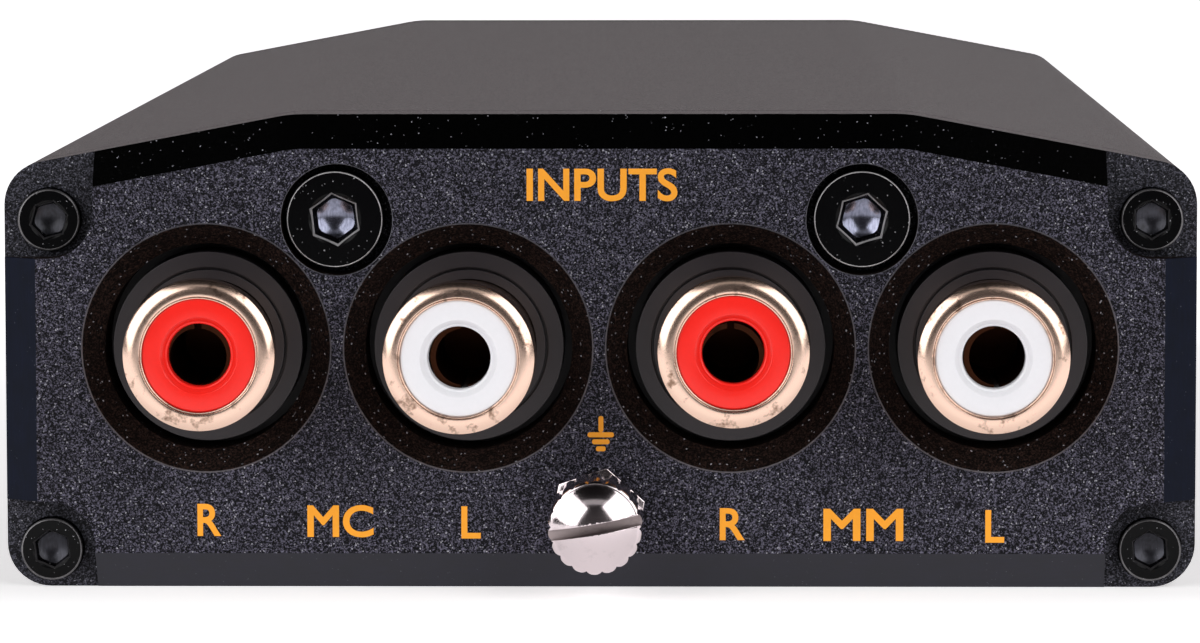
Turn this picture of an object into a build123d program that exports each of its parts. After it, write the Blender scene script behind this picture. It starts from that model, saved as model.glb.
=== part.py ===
from build123d import *
import os

# Phono preamplifier in a folded-top aluminium case, in millimetres.
# +X is the width and +Z is up, with z = 0 on the flat underside. +Y runs from the input end to the
# output end, and y = 0 is midway between them.
#
# Each end is modelled in its own end frame: y = 0 is the outer face of the end plate, +Y goes into the
# case, and x and z are those of the case seen from outside that end. at_input() and at_output() place
# what is built there.

# ---- Case ----
WIDTH = 68.0
HEIGHT = 27.1
BODY_LENGTH = 145.0  # over the outer faces of both end plates
FLAT_WIDTH = 35.2  # level middle of the top
SHOULDER_DROP = 3.1  # how much lower the sides end than the level middle
CORNER_RADIUS = 2.5
BEND_RADIUS = 8.0  # soft bend between the level top and a shoulder
WALL = 2.0
EDGE_BREAK = 0.12  # where the tube and an end plate meet
FIT = 0.05  # radial clearance of pieces that are pushed or screwed together
SLIP = 0.15  # clearance beside pieces that slide

# ---- End plates ----
PLATE_THICKNESS = 5.0
RIM_DEPTH = 1.5  # bevel round the raised face
RIM_WIDTH = 1.9
RIM_BOTTOM_WIDTH = 2.1
LAND_DEPTH = 1.6  # corner cut back for its screw
LAND_WIDTH = 5.2
LAND_HEIGHT = 5.05
LAND_RADIUS = 2.6
FACE_EDGE = 0.04  # deburred edge of a countersink or counterbore in the raised face

# ---- Corner screws, M2 socket head ----
CORNER_SCREW_INSET = 2.6  # from the side of the case
CORNER_SCREW_LOW = 2.2  # above the underside
CORNER_SCREW_DROP = 2.9  # below the top of the side
CORNER_HEAD_RADIUS = 1.77
CORNER_HEAD_HEIGHT = 1.6
CORNER_HEAD_SINK = 0.9  # how far the head sits in its land
CORNER_SHANK_RADIUS = 1.0
CORNER_SHANK_LENGTH = 8.0
CORNER_HEX = 1.9  # across the flats
PORT_RADIUS = 2.3  # screw channel in the extrusion

# ---- Jack screws, M3 socket head ----
JACK_SCREW_RISE = 7.32  # above the jacks' axes
JACK_HEAD_RADIUS = 2.73
JACK_HEAD_HEIGHT = 3.0
JACK_HEAD_SINK = 0.3  # below the raised face
JACK_COUNTERBORE_GAP = 0.44
JACK_SHANK_RADIUS = 1.5
JACK_SHANK_LENGTH = 8.0
JACK_HEX = 2.55
SHANK_HOLE_GAP = 0.1
HEX_DEPTH_SHARE = 0.5  # of the head's height
HEAD_EDGE = 0.22

# ---- RCA jacks ----
JACK_PITCH = 14.92
JACK_RISE = 0.3  # of the jacks' axes above half the height
RECESS_DEPTH = 1.2  # of the 45 degree countersink round each jack
SHELL_RADIUS = 3.8
SHELL_WALL = 0.55
LIP_FLARE = 0.47  # how far the lip stands out from the shell
LIP_ROUND = 0.85
LIP_LENGTH = 2.2
COLLAR_WIDTH = 1.6  # of the moulding round the shell
COLLAR_GAP = 0.5
GROOVE_OFFSET = 0.65  # from the shell to the hairline in the collar's face
GROOVE_WIDTH = 0.15
GROOVE_DEPTH = 0.4
JACK_REACH = 6.5  # in front of the raised face
RIM_STEP = 0.08
SHELL_TAIL = 8.3  # end of the shell, behind the face
INSERT_SINK = 0.2  # behind the lip
DISH_WIDTH = 0.3
DISH_DEPTH = 0.2
HOLE_LENGTH = 0.9
CONTACT_BORE = 1.6
CONTACT_WALL = 0.3
CONTACT_SLOT = 0.4
MOUTH_GAP = 0.18  # of the insulator's hole round the contact's bore
CONTACT_END = 5.9
TAIL_RADIUS = 0.6
LEG_WIDTH = 1.2
LEG_THICKNESS = 0.5
BLOCK_MARGIN = 6.2  # of the moulding, beside a jack's axis
BLOCK_DEPTH = 11.0  # behind the end plate
BLOCK_RISE = 5.75  # of the moulding above the jacks' axes
BOSS_RADIUS = 3.1
BLOCK_ROUND = 0.8

# ---- Ground terminal, an M3 thumb screw in a hexagonal bush ----
GROUND_X = -0.14
GROUND_Z = 4.25
KNOB_RADIUS = 2.67  # over the lobes of the grip
KNURL_LOBES = 18
LOBE_RADIUS = 0.53
LOBE_ANGLE = 9.0  # of the first lobe from +X when the screw is tight
KNOB_LENGTH = 4.45
KNOB_CHAMFER = 0.2
SHOULDER_WIDTH = 0.28  # of the rounded shoulder, from the lobes in to the dome
SHOULDER_LENGTH = 0.3
DOME_HEIGHT = 0.85
SLOT_WIDTH = 0.6
SLOT_DEPTH = 1.25
SLOT_ANGLE = 10.0  # of the slot when the screw is tight
GROUND_SHANK_RADIUS = 1.5
GROUND_SHANK_END = 6.2
WASHER_RADIUS = 2.3
WASHER_THICKNESS = 0.4
BUSH_WALL = 0.65
FLANGE_SIZE = 5.0  # across the flats of the bush's hexagon, which stands on the plate
FLANGE_THICKNESS = 0.8
FLANGE_ANGLE = 18.5  # of its first corner from +X
TAG_RADIUS = 2.2
TAG_THICKNESS = 0.4
TAG_WIDTH = 2.4
TAG_REACH = 9.5

# ---- Circuit board ----
JACK_STAND = 5.85  # from the board to the jacks' axes
BOARD_THICKNESS = 1.6
BOARD_SIDE_GAP = 0.2
BOARD_END_GAP = 2.0  # behind an end plate
RAIL_REACH = 1.2
RAIL_HEIGHT = 1.15
RAIL_GAP = 0.05

# ---- Output end ----
SWITCH_RISE = 3.2  # above the board
EQ_SWITCH_X = -4.4
FILTER_SWITCH_X = -13.6
SWITCH_STEP = 2.0  # between the three positions
SWITCH_KNOB_WIDTH = 2.0
SWITCH_KNOB_HEIGHT = 2.2
SWITCH_KNOB_SINK = 0.8  # behind the raised face
SWITCH_SLOT_WALL = 0.4  # left at the slot's end when the knob is at its stop
SWITCH_POCKET_MARGIN = 0.6
SWITCH_POCKET_HEIGHT = 4.4
SWITCH_POCKET_DEPTH = 3.0
SWITCH_BODY_HEIGHT = 6.4
SWITCH_BODY_DEPTH = 5.0
SWITCH_SKIN = 0.8
CARRIAGE_WIDTH = 2.4
CARRIAGE_HEIGHT = 3.4
LED_X = -19.4
LED_RADIUS = 1.0
LED_BODY = 3.0
DC_X = -26.0
DC_SLEEVE_RADIUS = 4.0
DC_BORE = 3.15
DC_PIN_RADIUS = 1.05
DC_BODY_WIDTH = 9.0
DC_BODY_DEPTH = 11.0
DC_BODY_RISE = 4.55  # above the socket's axis
DC_BORE_END = 9.5
DC_PIN_SINK = 1.5

# ---- Switch banks in the underside ----
BANK_X = 12.0  # the two banks stand at -BANK_X and +BANK_X
BANK_Y = -38.0
BANK_SWITCHES = 4
BANK_PITCH = 2.54
BANK_LENGTH = 11.6
BANK_WIDTH = 6.2
BANK_HEIGHT = 3.2
SLIDER_WIDTH = 1.1
SLIDER_LENGTH = 1.3
SLIDER_TRAVEL = 1.3
SLIDER_PROUD = 0.6
SLIDER_ROOT = 1.5
WINDOW_LENGTH = 11.4
WINDOW_WIDTH = 5.4
WINDOW_ROUND = 1.0

# ---- Worked out from the sizes above ----
HALF_WIDTH = WIDTH / 2
HALF_LENGTH = BODY_LENGTH / 2
SIDE_HEIGHT = HEIGHT - SHOULDER_DROP
TUBE_HALF = HALF_LENGTH - PLATE_THICKNESS
SCREW_X = HALF_WIDTH - CORNER_SCREW_INSET
SCREW_HIGH = SIDE_HEIGHT - CORNER_SCREW_DROP
JACK_Z = HEIGHT / 2 + JACK_RISE
JACK_SCREW_Z = JACK_Z + JACK_SCREW_RISE
SHELL_BORE = SHELL_RADIUS - SHELL_WALL
LIP_RADIUS = SHELL_RADIUS + LIP_FLARE
COLLAR_RADIUS = SHELL_RADIUS + COLLAR_WIDTH
GROOVE_RADIUS = SHELL_RADIUS + GROOVE_OFFSET
PLATE_HOLE = COLLAR_RADIUS + COLLAR_GAP
CONTACT_RADIUS = CONTACT_BORE + CONTACT_WALL
INSERT_HOLE = CONTACT_BORE + MOUTH_GAP
BLOCK_TOP = JACK_Z + BLOCK_RISE
BOARD_TOP = JACK_Z - JACK_STAND
BOARD_BOTTOM = BOARD_TOP - BOARD_THICKNESS
SWITCH_Z = BOARD_TOP + SWITCH_RISE
DC_BODY_TOP = JACK_Z + DC_BODY_RISE
BUSH_RADIUS = GROUND_SHANK_RADIUS + BUSH_WALL
LOBE_CENTRE = KNOB_RADIUS - LOBE_RADIUS
DOME_RADIUS = KNOB_RADIUS - SHOULDER_WIDTH
BOARD_HALF_WIDTH = HALF_WIDTH - WALL - BOARD_SIDE_GAP
BOARD_START = PLATE_THICKNESS + BOARD_END_GAP  # in an end frame
BLOCK_BACK = PLATE_THICKNESS + BLOCK_DEPTH
PAIR_X = JACK_PITCH  # from the middle of the case to the middle of a pair of jacks
SLOT_HALF = SWITCH_STEP + SWITCH_KNOB_WIDTH / 2 + SWITCH_SLOT_WALL
SWITCH_BODY_WIDTH = CARRIAGE_WIDTH + 2 * (SWITCH_STEP + SLIP + SWITCH_SKIN)
BANK_FACE = BOARD_BOTTOM - BANK_HEIGHT


def at_input(piece):
    """Place a piece of an end frame at the input end."""
    return Pos(0, -HALF_LENGTH, 0) * piece


def at_output(piece):
    """Place a piece of an end frame at the output end, turned to face out of it."""
    return Pos(0, HALF_LENGTH, 0) * Rot(0, 0, 180) * piece


def prism(section, start, end):
    """Extrude an X-Z section from y = start to y = end."""
    return Pos(0, end, 0) * Rot(90, 0, 0) * extrude(section, end - start)


def turned(*points):
    """Revolve an outline of (radius, y) points round the Y axis."""
    return revolve(make_face(Polyline(*points, close=True)), Axis.Y)


def rod(radius, start, end):
    """A round bar on the Y axis."""
    return prism(Circle(radius), start, end)


def block(x_size, y_start, y_end, z_start, z_end):
    """A box centred on x = 0."""
    centre = (0, (y_start + y_end) / 2, (z_start + z_end) / 2)
    return Pos(*centre) * Box(x_size, y_end - y_start, z_end - z_start)


# ---- Case shell ----
def case_outline():
    """The case seen from one end: flat bottom, upright sides, sloping shoulders and a level top."""
    flat = FLAT_WIDTH / 2
    corners = [
        (-HALF_WIDTH, 0),
        (HALF_WIDTH, 0),
        (HALF_WIDTH, SIDE_HEIGHT),
        (flat, HEIGHT),
        (-flat, HEIGHT),
        (-HALF_WIDTH, SIDE_HEIGHT),
    ]
    outline = make_face(Polyline(*corners, close=True))
    outline = fillet(outline.vertices().group_by(Axis.Y)[-1], BEND_RADIUS)
    outer = outline.vertices().filter_by(lambda v: abs(v.X) > HALF_WIDTH - EDGE_BREAK)
    return fillet(outer, CORNER_RADIUS)


def corner_points():
    """Where the corner screws stand, in X and Z."""
    return [(x, z) for z in (CORNER_SCREW_LOW, SCREW_HIGH) for x in (-SCREW_X, SCREW_X)]


def case_tube():
    """Extruded tube with screw channels in its corners, rails for the board and two switch windows."""
    outline = case_outline()
    section = outline - offset(outline, -WALL)
    for x, z in corner_points():
        section += Pos(x, z) * Circle(PORT_RADIUS) & outline
    rail = Rectangle(RAIL_REACH + WALL / 2, RAIL_HEIGHT)
    rail_x = HALF_WIDTH - WALL - RAIL_REACH + (RAIL_REACH + WALL / 2) / 2
    rail_low = BOARD_BOTTOM - RAIL_GAP - RAIL_HEIGHT / 2
    rail_high = BOARD_TOP + RAIL_GAP + RAIL_HEIGHT / 2
    for x in (-rail_x, rail_x):
        for z in (rail_low, rail_high):
            section += Pos(x, z) * rail
    for x, z in corner_points():
        section -= Pos(x, z) * Circle(CORNER_SHANK_RADIUS + FIT)
    tube = prism(section, -TUBE_HALF, TUBE_HALF)
    for end in (-1, 1):
        rim = tube.faces().sort_by(Axis.Y)[0 if end < 0 else -1].outer_wire().edges()
        tube = chamfer(rim, EDGE_BREAK)
    window = extrude(RectangleRounded(WINDOW_LENGTH, WINDOW_WIDTH, WINDOW_ROUND), 2 * WALL)
    for x in (-BANK_X, BANK_X):
        tube -= Pos(x, BANK_Y, -WALL / 2) * window
    return tube


def corner_land(side, top):
    """The X-Z area of one corner that is cut back for a screw, with a round inner corner."""
    beyond = CORNER_RADIUS
    width = LAND_WIDTH + beyond
    height = LAND_HEIGHT + (HEIGHT - SIDE_HEIGHT + beyond if top else beyond)
    x = side * (HALF_WIDTH + beyond - width / 2)
    z = SIDE_HEIGHT - LAND_HEIGHT + height / 2 if top else LAND_HEIGHT - height / 2
    land = Pos(x, z) * Rectangle(width, height)
    inner = land.vertices().sort_by(lambda v: v.X * side).group_by(Axis.Y)[0 if top else -1]
    return fillet(inner.sort_by(lambda v: v.X * side)[0], LAND_RADIUS)


def blank_plate():
    """End plate with its raised bevelled face, corner lands, and corner screw holes."""
    plate = prism(case_outline(), 0, PLATE_THICKNESS)
    for side in (-1, 1):
        for top in (False, True):
            plate -= prism(corner_land(side, top), -1, LAND_DEPTH)
    rims = (
        (lambda e: e.center().Z < EDGE_BREAK, RIM_BOTTOM_WIDTH),
        (lambda e: e.center().X < -HALF_WIDTH + EDGE_BREAK, RIM_WIDTH),
        (lambda e: e.center().X > HALF_WIDTH - EDGE_BREAK, RIM_WIDTH),
        (lambda e: e.center().Z > SIDE_HEIGHT + EDGE_BREAK, RIM_WIDTH),
    )
    for chosen, width in rims:
        face = plate.faces().filter_by(Axis.Y).sort_by(Axis.Y)[0]
        edges = face.outer_wire().edges().filter_by(chosen)
        plate = chamfer(edges, width, RIM_DEPTH, reference=face)
    back = plate.faces().sort_by(Axis.Y)[-1]
    plate = chamfer(back.outer_wire().edges(), EDGE_BREAK)
    seat = LAND_DEPTH + CORNER_HEAD_SINK
    head_hole = CORNER_HEAD_RADIUS + FIT
    for x, z in corner_points():
        plate -= Pos(x, 0, z) * rod(head_hole, 0, seat)
        plate -= Pos(x, 0, z) * rod(CORNER_SHANK_RADIUS + SHANK_HOLE_GAP, 0, PLATE_THICKNESS)
    return plate


def jack_pair_cut(pair_x):
    """What a pair of jacks and its screw take out of an end plate."""
    countersink = turned(
        (0, 0),
        (PLATE_HOLE + RECESS_DEPTH + FACE_EDGE, 0),
        (PLATE_HOLE + RECESS_DEPTH - FACE_EDGE, FACE_EDGE),
        (PLATE_HOLE, RECESS_DEPTH),
        (PLATE_HOLE, PLATE_THICKNESS),
        (0, PLATE_THICKNESS),
    )
    seat = JACK_HEAD_SINK + JACK_HEAD_HEIGHT
    head_hole = JACK_HEAD_RADIUS + JACK_COUNTERBORE_GAP
    shank_hole = JACK_SHANK_RADIUS + SHANK_HOLE_GAP
    counterbore = turned(
        (0, 0),
        (head_hole + FACE_EDGE, 0),
        (head_hole, FACE_EDGE),
        (head_hole, seat),
        (shank_hole, seat),
        (shank_hole, PLATE_THICKNESS),
        (0, PLATE_THICKNESS),
    )
    cut = Pos(pair_x, 0, JACK_SCREW_Z) * counterbore
    for x in (-JACK_PITCH / 2, JACK_PITCH / 2):
        cut += Pos(pair_x + x, 0, JACK_Z) * countersink
    return cut


def input_plate():
    """Plate with two pairs of jacks and the ground terminal."""
    plate = blank_plate()
    for x in (-PAIR_X, PAIR_X):
        plate -= jack_pair_cut(x)
    return plate - Pos(GROUND_X, 0, GROUND_Z) * rod(BUSH_RADIUS + FIT, 0, PLATE_THICKNESS)


def output_plate():
    """Plate with one pair of jacks, two switch pockets, the light and the power socket."""
    plate = blank_plate() - jack_pair_cut(PAIR_X)
    slot = Rectangle(2 * SLOT_HALF, SWITCH_KNOB_HEIGHT + SWITCH_SLOT_WALL)
    pocket = RectangleRounded(
        2 * (SLOT_HALF + SWITCH_POCKET_MARGIN), SWITCH_POCKET_HEIGHT, SWITCH_POCKET_MARGIN
    )
    for x in (EQ_SWITCH_X, FILTER_SWITCH_X):
        plate -= prism(Pos(x, SWITCH_Z) * slot, 0, PLATE_THICKNESS)
        plate -= prism(Pos(x, SWITCH_Z) * pocket, 0, SWITCH_POCKET_DEPTH)
    plate -= Pos(LED_X, 0, SWITCH_Z) * rod(LED_RADIUS + FIT, 0, PLATE_THICKNESS)
    plate -= Pos(DC_X, 0, JACK_Z) * rod(DC_SLEEVE_RADIUS + SLIP, 0, PLATE_THICKNESS)
    return plate


# ---- Screws ----
def socket_screw(head_radius, head_height, hex_size, shank_radius, shank_length):
    """Socket head cap screw whose head starts at y = 0, with a drilled cone under its hexagon."""
    screw = turned(
        (0, 0),
        (head_radius - HEAD_EDGE, 0),
        (head_radius, HEAD_EDGE),
        (head_radius, head_height),
        (shank_radius, head_height),
        (shank_radius, head_height + shank_length),
        (0, head_height + shank_length),
    )
    depth = head_height * HEX_DEPTH_SHARE
    drill = hex_size / 2
    screw -= prism(RegularPolygon(hex_size / 2, 6, major_radius=False), 0, depth)
    screw -= turned((0, depth), (drill, depth), (0, depth + drill / 2))
    return screw


def corner_screws():
    """The four screws of one end plate."""
    screw = socket_screw(
        CORNER_HEAD_RADIUS,
        CORNER_HEAD_HEIGHT,
        CORNER_HEX,
        CORNER_SHANK_RADIUS,
        CORNER_SHANK_LENGTH,
    )
    front = LAND_DEPTH + CORNER_HEAD_SINK - CORNER_HEAD_HEIGHT
    return [Pos(x, front, z) * screw for x, z in corner_points()]


def jack_screw(pair_x):
    """The screw between the two jacks of a pair."""
    screw = socket_screw(
        JACK_HEAD_RADIUS, JACK_HEAD_HEIGHT, JACK_HEX, JACK_SHANK_RADIUS, JACK_SHANK_LENGTH
    )
    return Pos(pair_x, JACK_HEAD_SINK, JACK_SCREW_Z) * screw


# ---- RCA jacks ----
def jack_block(pair_x):
    """Moulding that carries two jacks: a block on the board, a collar for each jack, a screw boss."""
    half = JACK_PITCH / 2
    body = block(JACK_PITCH + 2 * BLOCK_MARGIN, PLATE_THICKNESS, BLOCK_BACK, BOARD_TOP, BLOCK_TOP)
    body = fillet(body.edges().filter_by(Axis.Y).group_by(Axis.Z)[-1], BLOCK_ROUND)
    body += block(2 * BOSS_RADIUS, PLATE_THICKNESS, BLOCK_BACK, BOARD_TOP, JACK_SCREW_Z)
    body += Pos(0, 0, JACK_SCREW_Z) * rod(BOSS_RADIUS, PLATE_THICKNESS, BLOCK_BACK)
    screw_end = JACK_HEAD_SINK + JACK_HEAD_HEIGHT + JACK_SHANK_LENGTH
    body -= Pos(0, 0, JACK_SCREW_Z) * rod(
        JACK_SHANK_RADIUS + FIT, PLATE_THICKNESS, screw_end + SHANK_HOLE_GAP
    )
    groove = GROOVE_WIDTH / 2
    collar = turned(
        (0, RECESS_DEPTH),
        (GROOVE_RADIUS - groove, RECESS_DEPTH),
        (GROOVE_RADIUS - groove, RECESS_DEPTH + GROOVE_DEPTH),
        (GROOVE_RADIUS + groove, RECESS_DEPTH + GROOVE_DEPTH),
        (GROOVE_RADIUS + groove, RECESS_DEPTH),
        (COLLAR_RADIUS, RECESS_DEPTH),
        (COLLAR_RADIUS, PLATE_THICKNESS),
        (0, PLATE_THICKNESS),
    )
    tab = LEG_THICKNESS + 2 * FIT
    for x in (-half, half):
        body += Pos(x, 0, JACK_Z) * collar
        body -= Pos(x, 0, JACK_Z) * rod(SHELL_RADIUS + FIT, 0, SHELL_TAIL + FIT)
        body -= Pos(x, 0, JACK_Z) * rod(TAIL_RADIUS + FIT, 0, BLOCK_BACK)
        body -= Pos(x, 0, 0) * block(
            LEG_WIDTH + 2 * FIT, SHELL_TAIL + FIT - tab, SHELL_TAIL + FIT, BOARD_TOP, JACK_Z
        )
    return Pos(pair_x, 0, 0) * body


def jack_shell():
    """Plated shell on its own axis: round lip, waisted tube, and the tab that earths it."""
    tip = -JACK_REACH
    lip_back = tip + LIP_LENGTH
    lip_start = LIP_RADIUS - LIP_ROUND
    step = tip + RIM_STEP
    outline = (
        Line((SHELL_BORE, step), (lip_start - RIM_STEP, step))
        + Line((lip_start - RIM_STEP, step), (lip_start, tip))
        + RadiusArc((lip_start, tip), (LIP_RADIUS, tip + LIP_ROUND), -LIP_ROUND)
        + Polyline(
            (LIP_RADIUS, tip + LIP_ROUND),
            (LIP_RADIUS, lip_back - (LIP_RADIUS - SHELL_RADIUS)),
            (SHELL_RADIUS, lip_back),
            (SHELL_RADIUS, SHELL_TAIL),
            (SHELL_BORE, SHELL_TAIL),
            (SHELL_BORE, step),
        )
    )
    shell = revolve(make_face(outline), Axis.Y)
    tab_top = -(SHELL_RADIUS + SHELL_BORE) / 2
    return shell + block(LEG_WIDTH, SHELL_TAIL - LEG_THICKNESS, SHELL_TAIL, BOARD_TOP - JACK_Z, tab_top)


def jack_insert():
    """Coloured insulator that fills the shell, bored for the centre contact."""
    front = INSERT_SINK - JACK_REACH
    hole_end = front + DISH_DEPTH + HOLE_LENGTH
    return turned(
        (INSERT_HOLE + DISH_WIDTH, front),
        (SHELL_BORE - FIT, front),
        (SHELL_BORE - FIT, SHELL_TAIL),
        (TAIL_RADIUS + FIT, SHELL_TAIL),
        (TAIL_RADIUS + FIT, CONTACT_END + FIT),
        (CONTACT_RADIUS + FIT, CONTACT_END + FIT),
        (CONTACT_RADIUS + FIT, hole_end),
        (INSERT_HOLE, hole_end),
        (INSERT_HOLE, front + DISH_DEPTH),
    )


def jack_contact():
    """Split sleeve that grips the plug's pin, with a tail that turns down to the board."""
    front = INSERT_SINK - JACK_REACH + DISH_DEPTH + HOLE_LENGTH + FIT
    floor = CONTACT_END - 1
    back = BLOCK_BACK + LEG_THICKNESS + FIT
    contact = turned(
        (CONTACT_BORE, front),
        (CONTACT_RADIUS, front),
        (CONTACT_RADIUS, CONTACT_END),
        (TAIL_RADIUS, CONTACT_END),
        (TAIL_RADIUS, back),
        (0, back),
        (0, floor),
        (CONTACT_BORE, floor),
    )
    contact -= block(CONTACT_SLOT, front, floor - 1, -CONTACT_RADIUS, CONTACT_RADIUS)
    leg = block(LEG_WIDTH, BLOCK_BACK + FIT, back, BOARD_TOP - JACK_Z, TAIL_RADIUS)
    return contact + leg


# ---- Ground terminal ----
def ground_screw():
    """Thumb screw: lobed grip, rounded shoulder, slotted dome, and a shank into the bush."""
    back = -FLANGE_THICKNESS - WASHER_THICKNESS
    front = back - KNOB_LENGTH
    top = front - DOME_HEIGHT
    grip = Circle(LOBE_CENTRE + LOBE_RADIUS / 2)
    for lobe in PolarLocations(LOBE_CENTRE, KNURL_LOBES, LOBE_ANGLE):
        grip += lobe * Circle(LOBE_RADIUS)
    outline = (
        ThreePointArc((0, top), (DOME_RADIUS * 0.72, front - DOME_HEIGHT * 0.5), (DOME_RADIUS, front))
        + TangentArc(
            (KNOB_RADIUS, front + SHOULDER_LENGTH), (DOME_RADIUS, front), tangent=(0, -1)
        )
        + Polyline(
            (KNOB_RADIUS, front + SHOULDER_LENGTH),
            (KNOB_RADIUS, back - KNOB_CHAMFER),
            (KNOB_RADIUS - KNOB_CHAMFER, back),
            (0, back),
            (0, top),
        )
    )
    screw = prism(grip, top, back) & revolve(make_face(outline), Axis.Y)
    slot = block(4 * KNOB_RADIUS, top, top + SLOT_DEPTH, 0, SLOT_WIDTH)
    screw -= Rot(0, -SLOT_ANGLE, 0) * Pos(0, 0, -SLOT_WIDTH / 2) * slot
    screw += rod(GROUND_SHANK_RADIUS, back, GROUND_SHANK_END)
    return Pos(GROUND_X, 0, GROUND_Z) * screw


def ground_washer():
    """Thin washer between the bush and the thumb screw, which it follows out and in."""
    ring = Circle(WASHER_RADIUS) - Circle(GROUND_SHANK_RADIUS + FIT)
    front = -FLANGE_THICKNESS - WASHER_THICKNESS
    return Pos(GROUND_X, 0, GROUND_Z) * prism(ring, front, -FLANGE_THICKNESS)


def ground_bush():
    """Threaded bush pressed through the plate, with a hexagonal flange against its face."""
    bore = Circle(GROUND_SHANK_RADIUS + FIT)
    hexagon = RegularPolygon(FLANGE_SIZE / 2, 6, major_radius=False, rotation=FLANGE_ANGLE)
    flange = prism(hexagon - bore, -FLANGE_THICKNESS, 0)
    return Pos(GROUND_X, 0, GROUND_Z) * (flange + prism(Circle(BUSH_RADIUS) - bore, 0, PLATE_THICKNESS))


def ground_tag():
    """Brass tag from the bush to the underside of the board."""
    hole = Circle(GROUND_SHANK_RADIUS + SHANK_HOLE_GAP)
    rise = BOARD_BOTTOM - GROUND_Z
    strip = Pos(0, rise / 2) * Rectangle(TAG_WIDTH, rise)
    plate = prism(Circle(TAG_RADIUS) + strip - hole, PLATE_THICKNESS, PLATE_THICKNESS + TAG_THICKNESS)
    foot = block(TAG_WIDTH, PLATE_THICKNESS, TAG_REACH, rise - TAG_THICKNESS, rise)
    return Pos(GROUND_X, 0, GROUND_Z) * (plate + foot)


# ---- Output end ----
def switch_body(x):
    """Case of a three-position slide switch that stands on the board behind the plate."""
    front = PLATE_THICKNESS + SLIP
    back = front + SWITCH_BODY_DEPTH
    body = block(SWITCH_BODY_WIDTH, front, back, BOARD_TOP, BOARD_TOP + SWITCH_BODY_HEIGHT)
    room = CARRIAGE_HEIGHT / 2 + SLIP
    width = SWITCH_BODY_WIDTH - 2 * SWITCH_SKIN
    body -= block(width, front + SWITCH_SKIN, back - SWITCH_SKIN, SWITCH_Z - room, SWITCH_Z + room)
    mouth = SWITCH_KNOB_HEIGHT / 2 + SLIP
    body -= block(2 * SLOT_HALF, front, front + SWITCH_SKIN, SWITCH_Z - mouth, SWITCH_Z + mouth)
    return Pos(x, 0, 0) * body


def switch_slider(x):
    """Knob and the carriage behind it, which slides along X."""
    inner = PLATE_THICKNESS + SLIP + SWITCH_SKIN + SLIP
    depth = SWITCH_BODY_DEPTH - 2 * SWITCH_SKIN - 2 * SLIP
    knob_half = SWITCH_KNOB_HEIGHT / 2
    knob = block(SWITCH_KNOB_WIDTH, SWITCH_KNOB_SINK, inner, SWITCH_Z - knob_half, SWITCH_Z + knob_half)
    knob = fillet(knob.faces().sort_by(Axis.Y)[0].edges(), SLIP)
    half = CARRIAGE_HEIGHT / 2
    carriage = block(CARRIAGE_WIDTH, inner, inner + depth, SWITCH_Z - half, SWITCH_Z + half)
    return Pos(x, 0, 0) * (knob + carriage)


def light_pipe():
    """Clear rod that brings the light to the plate's face."""
    return Pos(LED_X, 0, SWITCH_Z) * rod(LED_RADIUS, 0, PLATE_THICKNESS + SLIP)


def status_led():
    """Light on the board behind the clear rod."""
    front = PLATE_THICKNESS + 2 * SLIP
    top = SWITCH_Z + LED_BODY / 2
    return Pos(LED_X, 0, 0) * block(LED_BODY, front, front + LED_BODY, BOARD_TOP, top)


def dc_socket():
    """Power socket: a block on the board and a sleeve through the plate."""
    back = PLATE_THICKNESS + DC_BODY_DEPTH
    body = block(DC_BODY_WIDTH, PLATE_THICKNESS, back, BOARD_TOP, DC_BODY_TOP)
    body += Pos(0, 0, JACK_Z) * rod(DC_SLEEVE_RADIUS, SLIP, PLATE_THICKNESS)
    body -= Pos(0, 0, JACK_Z) * rod(DC_BORE, 0, DC_BORE_END)
    body -= Pos(0, 0, JACK_Z) * rod(DC_PIN_RADIUS + FIT, DC_BORE_END, back)
    return Pos(DC_X, 0, 0) * body


def dc_pin():
    """Centre pin of the power socket."""
    back = PLATE_THICKNESS + DC_BODY_DEPTH
    pin = rod(DC_PIN_RADIUS, DC_PIN_SINK, back)
    pin = fillet(pin.edges().group_by(Axis.Y)[0], DC_PIN_RADIUS / 2)
    return Pos(DC_X, 0, JACK_Z) * pin


# ---- Switch banks ----
def bank_offsets():
    """Where the switches of a bank stand along it."""
    middle = (BANK_SWITCHES - 1) / 2
    return [(n - middle) * BANK_PITCH for n in range(BANK_SWITCHES)]


def bank_body(x):
    """Housing of a switch bank under the board, open below where its sliders stand."""
    body = block(BANK_LENGTH, -BANK_WIDTH / 2, BANK_WIDTH / 2, BANK_FACE, BOARD_BOTTOM)
    reach = (SLIDER_LENGTH + SLIDER_TRAVEL) / 2 + SLIP
    for along in bank_offsets():
        body -= Pos(along, 0, 0) * block(
            SLIDER_WIDTH + 2 * SLIP, -reach, reach, BANK_FACE, BANK_FACE + SLIDER_ROOT + SLIP
        )
    return Pos(x, BANK_Y, 0) * body


def bank_slider(x, along):
    """One slider of a bank, at the end of its travel nearer the input end."""
    start = -(SLIDER_LENGTH + SLIDER_TRAVEL) / 2
    slider = block(
        SLIDER_WIDTH, start, start + SLIDER_LENGTH, BANK_FACE - SLIDER_PROUD, BANK_FACE + SLIDER_ROOT
    )
    return Pos(x + along, BANK_Y, 0) * slider


# ---- Circuit board ----
def main_board():
    """Board that slides into the rails from one end."""
    half = HALF_LENGTH - BOARD_START
    return block(2 * BOARD_HALF_WIDTH, -half, half, BOARD_BOTTOM, BOARD_TOP)


def on_board(part, places):
    """Copies of a component that stands on z = 0, at (x, y) places on the board."""
    return [Pos(x, y, BOARD_TOP) * part for x, y in places]


def grid(xs, ys):
    return [(x, y) for y in ys for x in xs]


def mirrored(*xs):
    """Both sides of the board, for the left and the right channel."""
    return [side * x for x in xs for side in (-1, 1)]


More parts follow.
